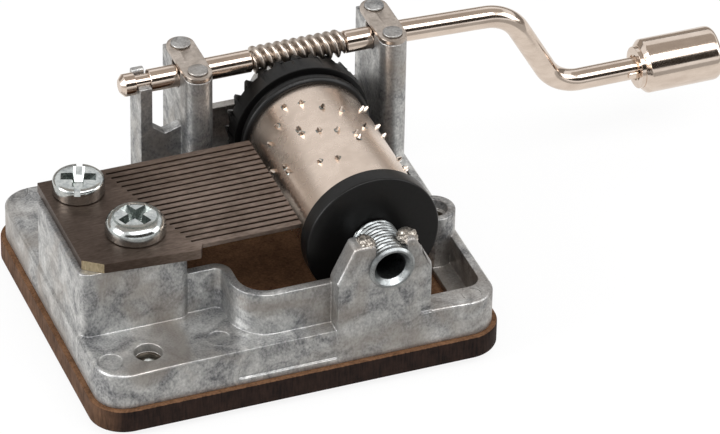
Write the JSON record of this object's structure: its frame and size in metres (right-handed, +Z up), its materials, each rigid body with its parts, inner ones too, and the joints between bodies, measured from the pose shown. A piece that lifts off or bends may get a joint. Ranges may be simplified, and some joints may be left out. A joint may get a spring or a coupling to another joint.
{
  "type": "hand-crank music movement",
  "caption": "Small die-cast music movement on a hardboard base: a bent crank turns a worm, a crown gear and a pinned cylinder beside a steel comb.",
  "frame": {"origin": "under the middle of the base board, on the plane that the base screw heads stand on", "axes": "+X along the comb teeth towards the crank knob, +Y from the front bracket to the crank shaft, +Z up"},
  "size_m": [0.091, 0.0408, 0.0265],
  "materials": {
    "hardboard": "pressed brown fibre with dark sawn edges",
    "zinc_screw": "bright zinc plating",
    "die_cast_zinc": "raw grey die-cast zinc",
    "comb_steel": "ground, tempered to a warm brown grey",
    "tuning_lead": "dull lead",
    "nickel_strap": "stamped steel, nickel plated",
    "nickel_wire": "polished nickel plating, warm in tone",
    "nickel_sleeve": "satin nickel with fine turning lines",
    "black_plastic": "satin black moulding"
  },
  "bodies": {
    "movement": {"base_board": "hardboard", "base_screws": "zinc_screw", "frame_casting": "die_cast_zinc", "comb": "comb_steel", "comb_weights": "tuning_lead", "comb_screw_rear": "zinc_screw", "comb_screw_front": "zinc_screw", "left_strap": "nickel_strap", "right_strap": "nickel_strap", "bearing_tube": "zinc_screw", "rear_pivot": "zinc_screw"},
    "crank": {"crank_shaft": "nickel_wire"},
    "knob": {"crank_knob": "nickel_wire"},
    "cylinder": {"pinned_cylinder": "nickel_sleeve", "front_cap": "black_plastic", "crown_gear": "black_plastic"}
  },
  "joints": [
    {"name": "crank_turn", "type": "hinge", "parent": "movement", "child": "crank", "pos_m": [0.01, 0.01435, 0.0241], "axis": [-1, 0, 0], "continuous": true},
    {"name": "knob_spin", "type": "hinge", "parent": "crank", "child": "knob", "pos_m": [0.06, 0.01435, 0.0119], "axis": [1, 0, 0], "continuous": true},
    {"name": "cylinder_turn", "type": "hinge", "parent": "movement", "child": "cylinder", "pos_m": [0.0105, 0, 0.0162], "axis": [0, 1, 0], "continuous": true}
  ],
  "couplings": [
    {"joint": "cylinder_turn", "follows": "crank_turn", "ratio": 0.041667}
  ]
}
